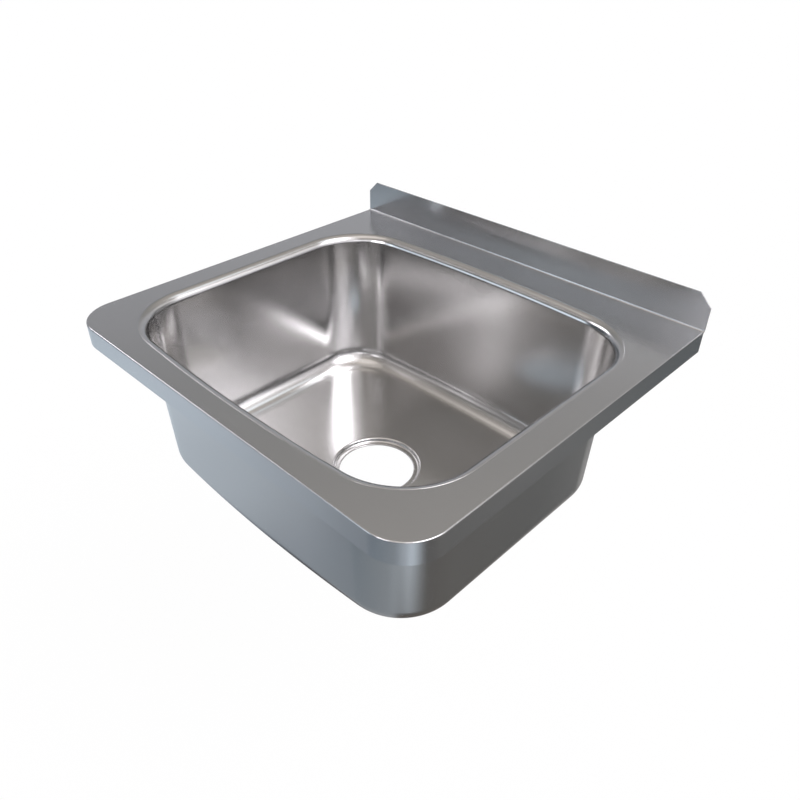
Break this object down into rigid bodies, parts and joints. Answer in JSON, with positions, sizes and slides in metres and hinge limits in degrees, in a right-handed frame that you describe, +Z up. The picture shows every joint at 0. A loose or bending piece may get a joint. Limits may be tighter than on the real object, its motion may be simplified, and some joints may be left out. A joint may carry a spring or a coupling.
{
  "type": "wall-hung hand wash basin",
  "caption": "Wall-hung stainless steel hand wash basin: square deck with a back upstand and a rolled apron, one deep rounded bowl and a round waste hole in a pressed seat.",
  "frame": {"origin": "centre of the four wall fixing slots, on the wall plane, 74 mm below the deck's top", "axes": "+X to the right as the user faces the wall, +Y into the wall, +Z up; the user stands at -Y"},
  "size_m": [0.5, 0.448, 0.2343],
  "materials": {
    "satin_deck": "fine satin brushed along the width",
    "satin_bowl": "soft satin, drawn and polished",
    "bracket_steel": "mill finish",
    "fastener_steel": "turned",
    "damping_rubber": "matte",
    "buffer_rubber": "matte"
  },
  "bodies": {
    "root": {"deck_panel": "satin_deck", "apron_strip": "satin_deck", "bowl": "satin_bowl", "damping_pad": "damping_rubber", "hanger_angle": "bracket_steel", "wall_rail": "bracket_steel", "weld_nuts": "fastener_steel", "clamp_screws": "fastener_steel", "left_stay": "bracket_steel", "right_stay": "bracket_steel", "left_buffer": "buffer_rubber", "right_buffer": "buffer_rubber"}
  },
  "joints": []
}
